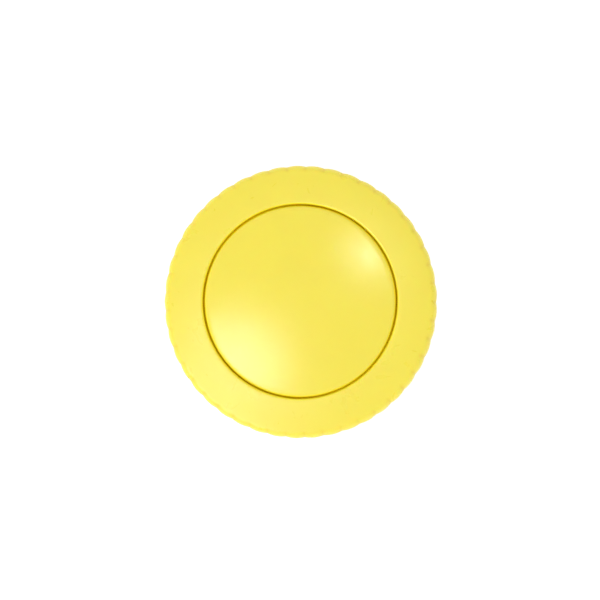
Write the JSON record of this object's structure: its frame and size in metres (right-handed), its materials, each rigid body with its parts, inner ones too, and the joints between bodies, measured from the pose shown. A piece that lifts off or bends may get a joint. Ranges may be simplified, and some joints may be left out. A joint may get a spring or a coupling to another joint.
{
  "type": "dive computer",
  "caption": "Round console dive computer lying display down: screwed locking ring with a scalloped rim, lift-out battery hatch, sealed case, display and push buttons.",
  "frame": {"origin": "centre of the front bezel's rim plane, on which the capsule lies", "axes": "+Z out of the back through the battery hatch, +Y towards twelve o'clock of the display"},
  "size_m": [0.0679, 0.068, 0.028],
  "materials": {
    "yellow_housing": "satin moulded plastic",
    "yellow_ring": "satin moulded plastic with a fine grain",
    "yellow_door": "satin moulded plastic with a fine grain",
    "black_housing": "black glass-filled plastic",
    "window_glass": "polished mineral glass",
    "black_rubber": "greased nitrile rubber",
    "stainless": "turned stainless steel",
    "spring_steel": "hardened spring steel",
    "brass": "turned brass",
    "circuit_board": "green solder mask",
    "chip_plastic": "moulded chip package",
    "display_glass": "liquid crystal cell",
    "light_guide": "milky light guide",
    "grey_plastic": "moulded inner plastic",
    "elastomer": "layered conducting rubber",
    "white_slip": "low friction washer plastic",
    "foam": "closed-cell foam",
    "button_plastic": "dark grey rubberised plastic",
    "cell_steel": "plated steel can",
    "ceramic": "fired ceramic",
    "flex_film": "polyimide film",
    "dark_steel": "blackened steel"
  },
  "bodies": {
    "case": {"main_case": "yellow_housing", "front_shell": "black_housing", "bezel_ring": "black_housing", "display_window": "window_glass", "window_gasket": "black_rubber", "case_o_ring": "black_rubber", "case_screws": "stainless", "screw_inserts": "brass", "lcd_panel": "display_glass", "lcd_backlight": "light_guide", "lcd_frame": "grey_plastic", "zebra_strips": "elastomer", "main_board": "circuit_board", "microcontroller": "chip_plastic", "crystal_can": "stainless", "board_capacitors": "ceramic", "dome_switches": "dark_steel", "board_screws": "dark_steel", "buzzer_disc": "brass", "depth_sensor": "stainless", "sensor_o_ring": "black_rubber", "sensor_cover": "black_housing", "sensor_flex": "flex_film", "contact_studs": "stainless", "stud_o_rings": "black_rubber", "battery_tray": "grey_plastic", "battery_cell": "cell_steel", "negative_contact": "spring_steel", "positive_contact": "spring_steel", "tray_screws": "dark_steel", "bulkhead_pins": "brass"},
    "hatch": {"battery_door": "yellow_door", "door_o_ring": "black_rubber", "door_pad": "foam", "glide_washer": "white_slip"},
    "ring": {"locking_ring": "yellow_ring", "keeper_ring": "spring_steel"},
    "button_left": {"button_cap_left": "button_plastic", "button_o_ring_left": "black_rubber", "button_clip_left": "stainless", "button_spring_left": "spring_steel"},
    "button_right": {"button_cap_right": "button_plastic", "button_o_ring_right": "black_rubber", "button_clip_right": "stainless", "button_spring_right": "spring_steel"}
  },
  "joints": [
    {"name": "hatch_lift", "type": "slide", "parent": "case", "child": "hatch", "axis": [0, 0, 1], "range_m": [0, 0.012]},
    {"name": "ring_turn", "type": "hinge", "parent": "hatch", "child": "ring", "pos_m": [0, 0, 0], "axis": [0, 0, 1], "range_deg": [0, 720]},
    {"name": "button_left_press", "type": "slide", "parent": "case", "child": "button_left", "axis": [0, 0, 1], "range_m": [0, 0.0009], "stiffness_N_per_m": 900, "springref_m": -0.002, "deforming": ["button_spring_left"]},
    {"name": "button_right_press", "type": "slide", "parent": "case", "child": "button_right", "axis": [0, 0, 1], "range_m": [0, 0.0009], "stiffness_N_per_m": 900, "springref_m": -0.002, "deforming": ["button_spring_right"]}
  ],
  "couplings": [
    {"joint": "hatch_lift", "follows": "ring_turn", "m_per_rad": 0.00095493}
  ]
}
